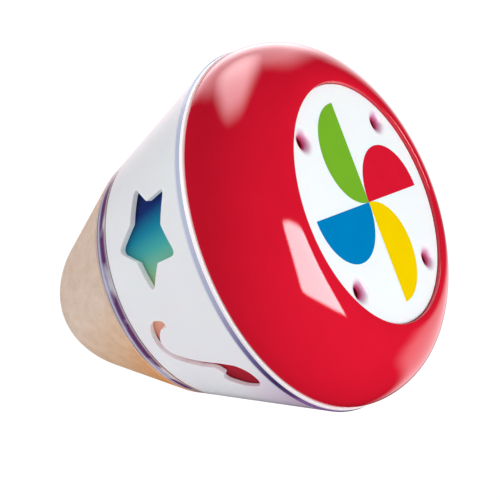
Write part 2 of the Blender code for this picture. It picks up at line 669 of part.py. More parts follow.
def make_plates():
    plates = (
        ("lower_plate", LOWER_PLATE_Z, LOWER_BORE, STUD_R),
        ("upper_plate", UPPER_PLATE_Z, UPPER_BORE, SMALL_SCREW[0]),
    )
    for name, low, bore, stud in plates:
        outlines = [circle(PLATE_R, steps=ROUND), circle(bore)]
        outlines += [circle(ARBOR_R + BORE_PLAY, at) for at in (CYLINDER_AT, IDLER_AT, GOVERNOR_AT)]
        outlines += [circle(stud + GAP, on_ring(PILLAR_RING, degrees)) for degrees in PILLAR_ANGLES]
        plate(name, outlines, low, PLATE_THICKNESS, BRASS)
    for i, degrees in enumerate(PILLAR_ANGLES):
        at = on_ring(PILLAR_RING, degrees)
        top = UPPER_PLATE_Z - GAP
        hole_r = SMALL_SCREW[0] + GAP
        profile = [
            (0, top - PILLAR_HOLE), (hole_r, top - PILLAR_HOLE), (hole_r, top), (PILLAR_R, top),
            (PILLAR_R, FRAME_Z), (STUD_R, FRAME_Z), (STUD_R, STUD_BOTTOM_Z), (0, STUD_BOTTOM_Z),
        ]
        turned(f"pillar_{i + 1}", profile, STEEL, at=at, steps=SMALL_ROUND)
        head_z = UPPER_PLATE_Z + PLATE_THICKNESS + GAP
        screw(f"pillar_screw_{i + 1}", SMALL_SCREW, head_z, PILLAR_SCREW_LENGTH, STEEL, at)


# Music cylinder, comb and governor fan

def make_music_cylinder():
    profile = [
        (ARBOR_R + BORE_PLAY, CYLINDER_TOP), (CYLINDER_R, CYLINDER_TOP), (CYLINDER_R, CYLINDER_BOTTOM),
        (ARBOR_R + BORE_PLAY, CYLINDER_BOTTOM),
    ]
    cylinder = turned("music_cylinder", profile, BRASS, closed=True, at=CYLINDER_AT, steps=MEDIUM_ROUND)
    pins = bpy.data.meshes.new("pins")
    points, faces = [], []
    golden_turn = math.pi * (3 - math.sqrt(5))
    box_faces = ((0, 1, 3, 2), (4, 6, 7, 5), (0, 4, 5, 1), (2, 3, 7, 6), (0, 2, 6, 4), (1, 5, 7, 3))
    for i in range(PIN_COUNT):
        angle = i * golden_turn
        height = COMB_Z + TONE_PITCH * (0.5 + i * 5 % TONES)
        out = Vector((math.cos(angle), math.sin(angle), 0))
        side = Vector((-math.sin(angle), math.cos(angle), 0)) * PIN_WIDTH / 2
        first = len(points)
        for reach in (CYLINDER_R - PIN_ROOT, CYLINDER_R + PIN_HEIGHT):
            for sign in (-1, 1):
                for rise in (-PIN_WIDTH / 2, PIN_WIDTH / 2):
                    points.append(out * reach + side * sign + Vector((0, 0, height + rise)))
        faces += [[first + corner for corner in face] for face in box_faces]
    pins.from_pydata(points, [], faces)
    boolean(cylinder, add_mesh("pins", pins, None, at=CYLINDER_AT), "UNION")


def comb_frame():
    """The comb's own axes: x along its teeth, away from the cylinder, y up, and z across its thickness."""
    along = Vector((math.cos(COMB_DIRECTION), math.sin(COMB_DIRECTION), 0))
    up = Vector((0, 0, 1))
    across = along.cross(up)
    turn = Matrix((along, up, across)).transposed().to_4x4()
    return Matrix.Translation((CYLINDER_AT[0], CYLINDER_AT[1], COMB_Z)) @ turn


def make_comb():
    tip = CYLINDER_R + PIN_HEIGHT + COMB_PIN_GAP
    root = tip + COMB_TOOTH
    end = root + COMB_SPINE
    outline = [(end, TONES * TONE_PITCH), (end, 0)]
    for tone in range(TONES):
        low = tone * TONE_PITCH + COMB_SLOT / 2
        high = (tone + 1) * TONE_PITCH - COMB_SLOT / 2
        outline += [(root, low), (tip, low), (tip, high), (root, high)]
    frame = comb_frame()
    middle = root + COMB_SPINE / 2
    heights = (3 * TONE_PITCH, 9 * TONE_PITCH)
    holes = [circle(SMALL_SCREW[0] + GAP, (middle, height)) for height in heights]
    curve = flat_curve("comb_outline", [outline, *holes], COMB_THICKNESS)
    mesh = welded_mesh(curve)
    mesh.transform(frame)
    add_mesh("comb", mesh, STEEL)

    near, low, high = root + BLOCK_SETBACK, FRAME_Z - COMB_Z, TONES * TONE_PITCH
    corners = [(near, low), (end, low), (end, high), (near, high)]
    curve = flat_curve("block_outline", [corners, *holes], BLOCK_DEPTH)
    mesh = welded_mesh(curve)
    shift = Matrix.Translation((0, 0, (COMB_THICKNESS + BLOCK_DEPTH) / 2 + GAP))
    mesh.transform(frame @ shift)
    add_mesh("comb_block", mesh, BRASS)

    for i, height in enumerate(heights):
        head_z = COMB_THICKNESS / 2 + GAP
        piece = screw(f"comb_screw_{i + 1}", SMALL_SCREW, head_z, COMB_SCREW_LENGTH, STEEL, AXIS)
        place = frame @ Matrix.Translation((middle, height, 0)) @ Matrix.Rotation(math.pi, 4, "X")
        piece.data.transform(place)


def make_governor_fan():
    bore = ARBOR_R + BORE_PLAY
    fan = tube("governor_fan", FAN_HUB_R, bore, FAN_Z, FAN_Z + FAN_HEIGHT, NYLON, GOVERNOR_AT)
    half = BLADE_THICKNESS / 2
    for i, sign in enumerate((-1, 1)):
        near, far = sorted((sign * BLADE_ROOT, sign * FAN_R))
        outline = [(near, -half), (far, -half), (far, half), (near, half)]
        curve = flat_curve(f"blade_{i + 1}_outline", [outline], BLADE_HEIGHT)
        mesh = welded_mesh(curve)
        mesh.transform(Matrix.Translation((0, 0, FAN_Z + FAN_HEIGHT / 2)))
        boolean(fan, add_mesh(f"blade_{i + 1}", mesh, None, at=GOVERNOR_AT), "UNION")


clear_scene()
parts = new_collection("spinning_top")
cutters = new_collection("cutters")
make_wooden_base()
make_pedestal()
make_clear_cover()
make_window_shell()
make_cap_shell()
make_face_disc()
make_cap_deck()
make_color_drum()
make_spindle()
make_spring()
make_gears()
make_arbors()
make_plates()
make_music_cylinder()
make_comb()
make_governor_fan()
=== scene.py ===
"""The looks of the spinning top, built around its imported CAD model; lengths are in metres.

Every piece that shows is turned or cut again at fine resolution in its CAD node's own space and rides on
the same body. The pieces sealed inside keep their CAD shapes and get finished materials.
"""

import json
import math

import bmesh
import bpy
from mathutils import Matrix, Vector


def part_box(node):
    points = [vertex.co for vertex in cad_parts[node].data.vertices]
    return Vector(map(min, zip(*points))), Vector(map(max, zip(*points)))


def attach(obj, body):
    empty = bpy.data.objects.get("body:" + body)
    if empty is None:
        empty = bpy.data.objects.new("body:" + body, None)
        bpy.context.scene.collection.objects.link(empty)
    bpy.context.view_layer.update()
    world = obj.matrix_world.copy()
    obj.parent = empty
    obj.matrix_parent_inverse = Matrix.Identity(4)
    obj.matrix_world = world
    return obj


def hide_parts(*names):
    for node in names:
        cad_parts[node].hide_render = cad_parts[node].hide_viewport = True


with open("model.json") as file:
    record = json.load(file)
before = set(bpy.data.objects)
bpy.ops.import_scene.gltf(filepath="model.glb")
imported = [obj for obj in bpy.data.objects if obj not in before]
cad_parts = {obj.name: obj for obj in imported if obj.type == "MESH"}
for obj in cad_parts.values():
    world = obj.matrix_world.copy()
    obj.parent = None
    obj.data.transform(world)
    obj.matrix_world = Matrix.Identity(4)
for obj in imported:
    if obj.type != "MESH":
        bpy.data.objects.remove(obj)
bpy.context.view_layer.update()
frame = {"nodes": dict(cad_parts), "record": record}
record = frame["record"]

MM = 0.001
FINE = 256  # sides of a large turned piece
SMALL = 48  # sides of a small one

# Heights and radii read from the frame
CAP_LOW, CAP_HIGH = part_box("cap_shell")
DISC_LOW, DISC_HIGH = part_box("face_disc")
DECK_LOW, DECK_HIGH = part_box("cap_deck")
COVER_LOW, COVER_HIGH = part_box("clear_cover")
SHELL_LOW, SHELL_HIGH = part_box("window_shell")
DRUM_LOW, DRUM_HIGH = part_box("color_drum")
WOOD_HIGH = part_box("wooden_base")[1]
SCREW_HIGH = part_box("cap_screw_1")[1]
MOUNTS = {mount["name"]: mount for mount in record["mounts"]}
FACE_Z = MOUNTS["cap_face"]["pos_m"][2]
RIM_R, RIM_Z = COVER_HIGH.x, COVER_HIGH.z
CAP_EDGE_Z = CAP_LOW.z
WOOD_TOP_R, WOOD_TOP_Z = WOOD_HIGH.x, WOOD_HIGH.z
GAP = 0.3 * MM

# The design's own angles, walls and arcs
CONE_ANGLE = math.radians(19.24)
CONE_SLOPE = math.tan(CONE_ANGLE)
FACE_R = DISC_HIGH.x + GAP
CAP_WALL = 2.2 * MM
CAP_ARCS = ((15, 11.3 * MM), (28, 15.2 * MM), (40, 29.6 * MM), (80, 19.3 * MM), (100, 14.2 * MM))
WOOD_ARCS = ((138, 40.9 * MM), (146, 16.8 * MM), (180, 2.5 * MM))
WOOD_SLOPE_ANGLE = math.radians(27)
WOOD_SIDE = 32.1 * MM
WARM_ANGLE = -22  # the side towards which painted light is graded: orange bounce light on the wood, shade and a weaker glow on the ring, a purple reflection on the cover
WALL = 2.1 * MM / math.cos(CONE_ANGLE)
SHELL_OUT = WALL + GAP
SHELL_IN = SHELL_OUT + 2.2 * MM / math.cos(CONE_ANGLE)
DRUM_OUT = SHELL_IN + 0.6 * MM
DRUM_IN = DRUM_OUT + 1.3 * MM
FLANGE_R = 30.5 * MM
DISC_THICKNESS = DISC_HIGH.z - DISC_LOW.z

# The four screws in the face: their ring, the funnels in the disc and the wells in the cap
SCREW_RING = 29.2 * MM
HOLE_TOP_R = 4.4 * MM
HOLE_SLOPE = 2.8 * MM  # how much narrower a funnel is at its bottom
WELL_R = 3.7 * MM
WELL_WALL = 1.4 * MM
WELL_FLOOR = 1.6 * MM
SCREW_HEAD_R, SCREW_SHANK_R, SCREW_HEAD = 2.9 * MM, 1.3 * MM, 1.7 * MM
SCREW_SLOT = (3.0 * MM, 0.6 * MM, 1.6 * MM)

# The deck's bore, hub and locating ring, the drum's flange and the wood's bore and pocket
DECK_BORE_R, DECK_HUB_R, DECK_RING_R, DECK_RING_OUT = 2.2 * MM, 5.5 * MM, 47.6 * MM, 49.2 * MM
DECK_TOP_Z = 93.0 * MM
DRUM_BORE_R, DRUM_FLANGE = 37 * MM, 1.5 * MM
COVER_FLANGE, SHELL_FLANGE = 3.0 * MM, 1.8 * MM
WOOD_BORE_R, WOOD_BORE_Z, WOOD_POCKET_Z = 6.0 * MM, 30.0 * MM, 36.0 * MM

# Windows, a star and a note three times round
WINDOW_PAIRS = 3
WINDOW_CUT = 8 * MM  # depth of a cutter
WINDOW_Z = 67.0 * MM
STAR_ANGLE, NOTE_ANGLE = -107, -62
STAR_R = 15.5 * MM
STAR_INNER = 0.57
STAR_TIP_ROUND, STAR_NOTCH_ROUND = 1.8 * MM, 0.8 * MM
# Outline around the window's centre: across the shell and up it, towards the cap, in millimetres
NOTE_OUTLINE = (
    (5.5, 8.0), (6.6, 11.7), (9.9, 14.1), (14.0, 12.8), (15.5, 7.8), (13.9, 2.5), (11.5, 0.2), (8.8, 2.5),
    (5.9, -5.0), (3.8, -11.4), (-0.2, -15.5), (-5.0, -15.6), (-8.5, -13.4), (-9.9, -10.3), (-8.6, -6.2),
    (-7.1, -9.6), (-5.2, -11.8), (-2.6, -13.3), (0.2, -12.3), (2.2, -8.8), (3.9, -3.1),
)

# Plastic and print
SHELL_WHITE = (0.69, 0.708, 0.73)
# painted glow: the shell's emission stands in for light coming through the thin white plastic
SHELL_PAINTED_GLOW = 0.195
RING_PAINTED_SHADE = ((0.0, (0.96, 0.95, 0.955)), (1.0, (0.70, 0.68, 0.70)))  # painted shade: the white darkens from the far to the warm side
# painted glow of the ring, weaker on the warm side
RING_PAINTED_GLOW = ((0.0, (1.0, 0.93, 0.94)), (1.0, (0.35, 0.32, 0.33)))
COVER_IOR = 1.12
RIM_BAND = 0.9 * MM
# the cover's near-clear tint, with a painted lavender reflection towards the warm side
COVER_TINT_AND_REFLECTION = ((0.0, (0.985, 0.985, 0.99)), (0.75, (0.98, 0.965, 0.985)), (1.0, (0.74, 0.56, 0.74)))
RIM_LINE_REFLECTION = (  # painted reflection and shade of the rim line, from the far side to the warm side
    (0.0, (0.62, 0.66, 0.82)),
    (0.45, (0.48, 0.49, 0.66)),
    (0.7, (0.22, 0.18, 0.38)),
    (0.86, (0.07, 0.04, 0.16)),
    (1.0, (0.26, 0.13, 0.32)),
)
FOOT_TOP = 5.0 * MM  # height of the cover's thick foot
FOOT_PAINTED_REFLECTION = (  # painted reflection of coloured rings in the thick foot, by the share of the foot's height
    (0.0, (0.09, 0.06, 0.18)),
    (0.12, (0.30, 0.32, 0.60)),
    (0.24, (0.66, 0.66, 0.84)),
    (0.34, (0.26, 0.24, 0.48)),
    (0.48, (0.12, 0.035, 0.16)),
    (0.76, (0.14, 0.04, 0.16)),
    (0.92, (0.45, 0.36, 0.50)),
    (1.0, (0.80, 0.78, 0.85)),
)
# painted glints on the foot
FOOT_PAINTED_GLINTS = (
    (0.0, (0.22, 0.20, 0.42)),
    (0.2, (0.70, 0.72, 0.90)),
    (0.45, (0.40, 0.42, 0.68)),
    (0.7, (0.86, 0.85, 0.94)),
    (1.0, (0.85, 0.84, 0.90)),
)
RAINBOW_AND_SHADE = (  # printed colours by degrees round the drum from +X; the near-black stop at -127 is painted shade
    (-180, (0.10, 0.40, 0.38)),
    (-150, (0.01, 0.10, 0.30)),
    (-127, (0.006, 0.010, 0.08)),
    (-117, (0.006, 0.028, 0.17)),
    (-109, (0.006, 0.24, 0.38)),
    (-102, (0.06, 0.42, 0.40)),
    (-94, (0.24, 0.52, 0.32)),
    (-82, (0.62, 0.44, 0.15)),
    (-75, (0.90, 0.48, 0.34)),
    (-67, (0.84, 0.28, 0.21)),
    (-57, (0.62, 0.02, 0.04)),
    (-46, (0.42, 0.008, 0.025)),
    (-25, (0.55, 0.02, 0.06)),
    (0, (0.60, 0.06, 0.16)),
    (40, (0.25, 0.03, 0.35)),
    (75, (0.03, 0.05, 0.35)),
    (105, (0.01, 0.24, 0.45)),
    (140, (0.20, 0.50, 0.25)),
    (180, (0.10, 0.40, 0.38)),
)

# The face and its printed pinwheel
FACE_WHITE = (0.83, 0.87, 0.89)
HOLE_SHADE_AND_BOUNCE = (  # painted shade and red bounce light in the screw holes, by the share of the disc's thickness
    (0.0, (0.46, 0.015, 0.09)),
    (0.35, (0.50, 0.10, 0.22)),
    (0.75, (0.62, 0.42, 0.54)),
    (0.93, (0.74, 0.70, 0.76)),
    (1.0, FACE_WHITE),
)
# painted glow in the screw holes
HOLE_PAINTED_GLOW = (
    (0.0, (0.60, 0.03, 0.13)),
    (0.5, (0.30, 0.05, 0.13)),
    (0.9, (0, 0, 0)),
)
PETAL_LENGTH = 0.84 * FACE_R
PRINT_HEIGHT = 0.03 * MM
PETALS = (
    ("petal_yellow", 0, (0.78, 0.55, 0.0)),
    ("petal_red", 90, (0.59, 0.008, 0.027)),
    ("petal_green", 180, (0.155, 0.39, 0.021)),
    ("petal_blue", 270, (0.0, 0.19, 0.46)),
)

# Camera: axis angles as seen by the camera, and where the face's centre falls in the picture
CAMERA_ELEVATION = math.radians(34.81)
CAMERA_ROLL = math.radians(90 - 20.76)
CAMERA_DISTANCE = 347.2 * MM
CAMERA_SHARE = 135.5 * MM  # width of the picture at the face's centre
FACE_ACROSS, FACE_UP = 0.2378, 0.0955  # of that width, from the picture's centre

# Light
WORLD_STRENGTH, KEY_POWER, FLOOR_GLOW = 0.54, 9, 0.97
LIT_POINT = Vector((0, 0, 0.08))
CARD_DISTANCE = 1.0
CARD_HALF, CARD_STEPS = 1.1, 150
CARD_COLOUR = (1.0, 0.85, 0.89, 1)
# name, azimuth and elevation of the card, then its patches: centre and half size across and up the card,
# lean across per unit up, squareness (2 is an ellipse), share of the half size that fades, strength
CARDS = (
    ("card_above", 20, 76, [((0, 0), (0.31, 0.3), 0, 12, 0.16, 17)]),
    ("card_side", 155, 0, [
        ((-0.05, -0.40), (0.66, 0.66), 0, 5, 0.45, 2.0),
        ((0.12, 0.24), (0.42, 0.78), 0.18, 2.8, 0.75, 7.0),
    ]),
    ("card_behind", 58, -6, [((-0.1, 0.15), (0.55, 0.35), 0, 6, 0.5, 1.25)]),
    ("card_beyond", 90, -35, [((0, 0.45), (0.95, 0.75), 0, 2, 0.9, 1.4)]),
)


# Mesh helpers

def link(name, mesh):
    piece = bpy.data.objects.new(name, mesh)
    bpy.context.scene.collection.objects.link(piece)
    return piece


def dress(piece, material, body, nodes=()):
    """Gives a piece its shading, material and body, and hides the CAD nodes it stands for."""
    smooth(piece)
    piece.data.materials.clear()
    piece.data.materials.append(material)
    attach(piece, body)
    if nodes:
        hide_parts(*nodes)
    return piece


def evaluated_mesh(obj):
    graph = bpy.context.evaluated_depsgraph_get()
    return bpy.data.meshes.new_from_object(obj.evaluated_get(graph))


def smooth(piece, degrees=35):
    """Smooth shading with its sharp edges kept, in which the large faces set the normals."""
    piece.data.shade_smooth()
    piece.data.set_sharp_from_angle(angle=math.radians(degrees))
    modifier = piece.modifiers.new("weighted", "WEIGHTED_NORMAL")
    modifier.keep_sharp = True
    modifier.weight = 100
    bpy.context.view_layer.update()
    mesh = evaluated_mesh(piece)
    piece.modifiers.clear()
    piece.data = mesh
    return piece


def rounded(corners, pieces=6):
    """Points along a closed outline of (x, y, fillet radius) corners, with each corner rounded."""
    points = []
    count = len(corners)
    for i, (x, y, radius) in enumerate(corners):
        corner = Vector((x, y))
        before = Vector(corners[i - 1][:2]) - corner
        after = Vector(corners[(i + 1) % count][:2]) - corner
        if radius == 0:
            points.append((x, y))
            continue
        half = before.angle(after) / 2
        reach = min(radius / math.tan(half), before.length * 0.49, after.length * 0.49)
        start, end = corner + before.normalized() * reach, corner + after.normalized() * reach
        for step in range(pieces + 1):
            t = step / pieces
            blend = (1 - t) ** 2 * start + 2 * t * (1 - t) * corner + t ** 2 * end
            points.append((blend.x, blend.y))
    return points


def turned(name, profile, closed=True, steps=FINE, at=(0, 0)):
    """A body turned about the vertical line at, from (radius, z) points that run down its outer side."""
    shape = bmesh.new()
    corners = [shape.verts.new((radius, 0, z)) for radius, z in profile]
    pairs = list(zip(corners, corners[1:]))
    if closed:
        pairs.append((corners[-1], corners[0]))
    edges = [shape.edges.new(pair) for pair in pairs]
    bmesh.ops.spin(
        shape, geom=corners + edges, cent=(0, 0, 0), axis=(0, 0, 1), angle=2 * math.pi,
        steps=steps, use_merge=True,
    )
    bmesh.ops.remove_doubles(shape, verts=shape.verts, dist=0.001 * MM)
    bmesh.ops.recalc_face_normals(shape, faces=shape.faces)
    bmesh.ops.translate(shape, verts=shape.verts, vec=(at[0], at[1], 0))
    mesh = bpy.data.meshes.new(name)
    shape.to_mesh(mesh)
    shape.free()
    return link(name, mesh)


def arc_chain(start, start_angle, arcs, inset=0, pieces=12):
    """Points along tangent arcs from start, moved inwards by inset; angles are of the normal from +Z."""
    radius, z = start
    angle = math.radians(start_angle)
    points = [(radius - inset * math.sin(angle), z - inset * math.cos(angle))]
    for end, bend in arcs:
        end = math.radians(end)
        for i in range(1, pieces + 1):
            a = angle + (end - angle) * i / pieces
            x = radius + bend * (math.sin(a) - math.sin(angle))
            y = z + bend * (math.cos(a) - math.cos(angle))
            points.append((x - inset * math.sin(a), y - inset * math.cos(a)))
        radius += bend * (math.sin(end) - math.sin(angle))
        z += bend * (math.cos(end) - math.cos(angle))
        angle = end
    return points


def cone_r(z, depth=0):
    return RIM_R - (RIM_Z - z) * CONE_SLOPE - depth


def on_ring(radius, degrees):
    angle = math.radians(degrees)
    return (radius * math.cos(angle), radius * math.sin(angle))


def prism(name, outline, thickness, resolution=1):
    """A closed mesh from a flat outline, centred on z = 0; resolution over 1 smooths the outline."""
    curve = bpy.data.curves.new(name, "CURVE")
    curve.dimensions = "2D"
    curve.fill_mode = "BOTH"
    curve.extrude = thickness / 2
    curve.resolution_u = resolution
    spline = curve.splines.new("POLY" if resolution == 1 else "BEZIER")
    points = spline.points if resolution == 1 else spline.bezier_points
    points.add(len(outline) - 1)
    for point, (x, y) in zip(points, outline):
        if resolution == 1:
            point.co = (x, y, 0, 1)
        else:
            point.co = (x, y, 0)
            point.handle_left_type = "AUTO"
            point.handle_right_type = "AUTO"
    spline.use_cyclic_u = True
    holder = bpy.data.objects.new(name, curve)
    bpy.context.scene.collection.objects.link(holder)
    bpy.context.view_layer.update()
    mesh = evaluated_mesh(holder)
    bpy.data.objects.remove(holder)
    shape = bmesh.new()
    shape.from_mesh(mesh)
    bmesh.ops.remove_doubles(shape, verts=shape.verts, dist=0.001 * MM)
    bmesh.ops.recalc_face_normals(shape, faces=shape.faces)
    shape.to_mesh(mesh)
    shape.free()
    return mesh


def cut(piece, cutters, operation="DIFFERENCE"):
    """Applies Booleans one after another and removes the cutters."""
    for cutter in cutters:
        modifier = piece.modifiers.new("cut", "BOOLEAN")
        modifier.operation = operation
        modifier.object = cutter
    bpy.context.view_layer.update()
    mesh = evaluated_mesh(piece)
    piece.modifiers.clear()
    piece.data = mesh
    for cutter in cutters:
        bpy.data.objects.remove(cutter)
    return piece


def soften(piece, width, segments=3):
    """Rounds the edges that a cut left."""
    bevel = piece.modifiers.new("soften", "BEVEL")
    bevel.width = width
    bevel.segments = segments
    bevel.limit_method = "ANGLE"
    bevel.angle_limit = math.radians(50)
    bevel.use_clamp_overlap = True
    bpy.context.view_layer.update()
    mesh = evaluated_mesh(piece)
    piece.modifiers.clear()
    piece.data = mesh


# Node helpers

class Nodes:
    """A material and short calls to add and link its nodes."""

    def __init__(self, name):
        self.material = bpy.data.materials.new(name)
        self.material.use_nodes = True
        self.tree = self.material.node_tree
        self.shader = self.tree.nodes["Principled BSDF"]

    def set(self, **values):
        for key, value in values.items():
            self.shader.inputs[key.replace("_", " ")].default_value = value
        return self

    def add(self, kind, values=None, **settings):
        node = self.tree.nodes.new(kind)
        for key, value in settings.items():
            setattr(node, key, value)
        for key, value in (values or {}).items():
            node.inputs[key].default_value = value
        return node

    def link(self, source, target):
        self.tree.links.new(source, target)

    def place(self, scale=(1, 1, 1)):
        """Object coordinates stretched by scale."""
        where = self.add("ShaderNodeTexCoord").outputs["Object"]
        mapping = self.add("ShaderNodeMapping", {"Scale": scale})
        self.link(where, mapping.inputs["Vector"])
        return mapping.outputs["Vector"]

    def noise(self, scale, detail=3, stretch=(1, 1, 1), roughness=0.5):
        node = self.add("ShaderNodeTexNoise", {"Scale": scale, "Detail": detail, "Roughness": roughness})
        self.link(self.place(stretch), node.inputs["Vector"])
        return node.outputs["Fac"]

    def ramp(self, source, stops):
        node = self.add("ShaderNodeValToRGB")
        ramp = node.color_ramp
        while len(ramp.elements) < len(stops):
            ramp.elements.new(1)
        for element, (position, colour) in zip(ramp.elements, stops):
            element.position = position
            element.color = (*colour, 1) if len(colour) == 3 else colour
        self.link(source, node.inputs["Fac"])
        return node.outputs["Color"]

    def range(self, source, low, high):
        """0 to 1 stretched to low to high."""
        node = self.add("ShaderNodeMapRange", {"To Min": low, "To Max": high})
        self.link(source, node.inputs["Value"])
        return node.outputs["Result"]

    def share(self, source, start, end):
        """0 at start to 1 at end."""
        node = self.add("ShaderNodeMapRange", {"From Min": start, "From Max": end})
        self.link(source, node.inputs["Value"])
        return node.outputs["Result"]

    def height_share(self, low, high):
        """0 to 1 up the object, from low to high."""
        parts = self.add("ShaderNodeSeparateXYZ")
        self.link(self.add("ShaderNodeTexCoord").outputs["Object"], parts.inputs[0])
        return self.share(parts.outputs["Z"], low, high)

    def side_share(self, start, end, both=False):
        """0 to 1 towards the warm side, from start to end metres off the axis; both mirrors it."""
        turn = self.add("ShaderNodeMapping", {"Rotation": (0, 0, math.radians(-WARM_ANGLE))})
        self.link(self.add("ShaderNodeTexCoord").outputs["Object"], turn.inputs["Vector"])
        parts = self.add("ShaderNodeSeparateXYZ")
        self.link(turn.outputs["Vector"], parts.inputs[0])
        offset = parts.outputs["X"]
        if both:
            away = self.add("ShaderNodeMath", operation="ABSOLUTE")
            self.link(offset, away.inputs[0])
            offset = away.outputs["Value"]
        return self.share(offset, start, end)

    def mix(self, first, second, factor=None):
        """first blended to second by factor, or the two multiplied."""
        node = self.add("ShaderNodeMix", data_type="RGBA", blend_type="MIX" if factor else "MULTIPLY")
        node.inputs["Factor"].default_value = 1
        if factor:
            self.link(factor, node.inputs["Factor"])
        self.link(first, node.inputs["A"])
        self.link(second, node.inputs["B"])
        return node.outputs["Result"]

    def bump(self, height, distance, strength=1.0):
        node = self.add("ShaderNodeBump", {"Distance": distance, "Strength": strength})
        self.link(height, node.inputs["Height"])
        self.link(node.outputs["Normal"], self.shader.inputs["Normal"])

    def feed(self, source, socket="Base Color"):
        self.link(source, self.shader.inputs[socket])

    def surface(self, output, keep_shader=False):
        """Makes output the material's surface."""
        self.link(output, self.tree.nodes["Material Output"].inputs["Surface"])
        if not keep_shader:
            self.tree.nodes.remove(self.shader)


def red_lacquer():
    nodes = Nodes("red_plastic_gloss")
    nodes.set(Roughness=0.4, Coat_Weight=1.0, Coat_Roughness=0.04, Coat_IOR=1.5, Specular_IOR_Level=0.0)
    nodes.feed(nodes.ramp(nodes.noise(60, 2), ((0.3, (0.60, 0.007, 0.0245)), (0.7, (0.64, 0.008, 0.0275)))))
    nodes.bump(nodes.noise(140, 2), 0.01 * MM, 0.15)
    return nodes.material


def speckled(nodes, colour, dark, scale, stops, stretch=(1, 1, 1)):
    """A colour that noise darkens a little."""
    darker = tuple(dark * channel for channel in colour)
    nodes.feed(nodes.ramp(nodes.noise(scale, 3, stretch), ((stops[0], darker), (stops[1], colour))))


def white_plastic(name, colour=(0.9, 0.905, 0.92), roughness=0.35, glow=0):
    nodes = Nodes(name)
    nodes.set(Roughness=roughness, IOR=1.5, Subsurface_Weight=0.35, Subsurface_Scale=2.5 * MM)
    # glow is painted light: an emission that stands in for light coming through the plastic
    nodes.set(Emission_Color=(0.98, 0.98, 1, 1), Emission_Strength=glow)
    speckled(nodes, colour, 0.985, 90, (0.35, 0.65))
    nodes.bump(nodes.noise(900, 2), 0.004 * MM, 0.3)
    return nodes.material


def white_ring():
    """White plastic with a painted glow, weaker on the warm side, and painted shade that darkens it there."""
    nodes = Nodes("white_plastic_deck")
    nodes.set(Roughness=0.35, Emission_Strength=0.26)
    side = nodes.side_share(5 * MM, 40 * MM)
    nodes.feed(nodes.ramp(side, RING_PAINTED_SHADE))
    nodes.feed(nodes.ramp(side, RING_PAINTED_GLOW), "Emission Color")
    return nodes.material


def face_plastic():
    """Plain white on top; down in the screw holes, painted shade and red bounce light going crimson, and a
    painted glow.
    """
    nodes = Nodes("white_plastic_face")
    nodes.set(Roughness=0.35, Subsurface_Weight=0.35, Subsurface_Scale=2.5 * MM, Emission_Strength=0.16)
    depth = nodes.height_share(DISC_LOW.z, DISC_HIGH.z)
    nodes.feed(nodes.ramp(depth, HOLE_SHADE_AND_BOUNCE))
    nodes.feed(nodes.ramp(depth, HOLE_PAINTED_GLOW), "Emission Color")
    return nodes.material


def cover_tint(nodes):
    """Nearly clear, with a painted reflection: a blue-grey rim line that turns dark purple on the warm side,
    and a lavender cast on that side.
    """
    side = nodes.side_share(10 * MM, RIM_R)
    height = nodes.height_share(COVER_LOW.z, RIM_Z)
    at_rim = nodes.ramp(height, ((0.962, (0, 0, 0)), (0.978, (1, 1, 1))))
    return nodes.mix(nodes.ramp(side, COVER_TINT_AND_REFLECTION), nodes.ramp(side, RIM_LINE_REFLECTION), at_rim)


def clear_outside():
    """Bends light on its way in; on its way out light goes straight, so that no edge turns black."""
    nodes = Nodes("clear_plastic")
    nodes.set(Roughness=0.02, IOR=COVER_IOR, Transmission_Weight=1.0)
    tint = cover_tint(nodes)
    nodes.feed(tint)
    clear = nodes.add("ShaderNodeBsdfTransparent")
    nodes.link(tint, clear.inputs["Color"])
    either = nodes.add("ShaderNodeMixShader")
    nodes.link(nodes.add("ShaderNodeNewGeometry").outputs["Backfacing"], either.inputs[0])
    nodes.link(nodes.shader.outputs["BSDF"], either.inputs[1])
    nodes.link(clear.outputs["BSDF"], either.inputs[2])
    nodes.surface(either.outputs["Shader"], keep_shader=True)
    return nodes.material


def clear_inside():
    nodes = Nodes("clear_plastic_inside")
    clear = nodes.add("ShaderNodeBsdfTransparent")
    nodes.link(cover_tint(nodes), clear.inputs["Color"])
    nodes.surface(clear.outputs["BSDF"])
    return nodes.material


def clear_foot():
    """The thick end, with a painted reflection in purple and lavender rings by height and painted pale
    glints.
    """
    nodes = Nodes("clear_plastic_foot")
    nodes.set(Roughness=0.12, IOR=COVER_IOR, Transmission_Weight=0.3)
    height = nodes.height_share(COVER_LOW.z, COVER_LOW.z + FOOT_TOP)
    glints = nodes.ramp(nodes.noise(90, 2), ((0.46, (0.0, 0.0, 0.0)), (0.58, (0.9, 0.9, 0.9))))
    nodes.feed(nodes.mix(nodes.ramp(height, FOOT_PAINTED_REFLECTION), nodes.ramp(height, FOOT_PAINTED_GLINTS), glints))
    return nodes.material


def rainbow():
    nodes = Nodes("rainbow_print")
    nodes.set(Roughness=0.45, Specular_IOR_Level=0.08)
    turn = nodes.add("ShaderNodeTexGradient", gradient_type="RADIAL")
    nodes.link(nodes.place(), turn.inputs["Vector"])
    nodes.feed(nodes.ramp(turn.outputs["Fac"], [(degrees / 360 + 0.5, tint) for degrees, tint in RAINBOW_AND_SHADE]))
    return nodes.material


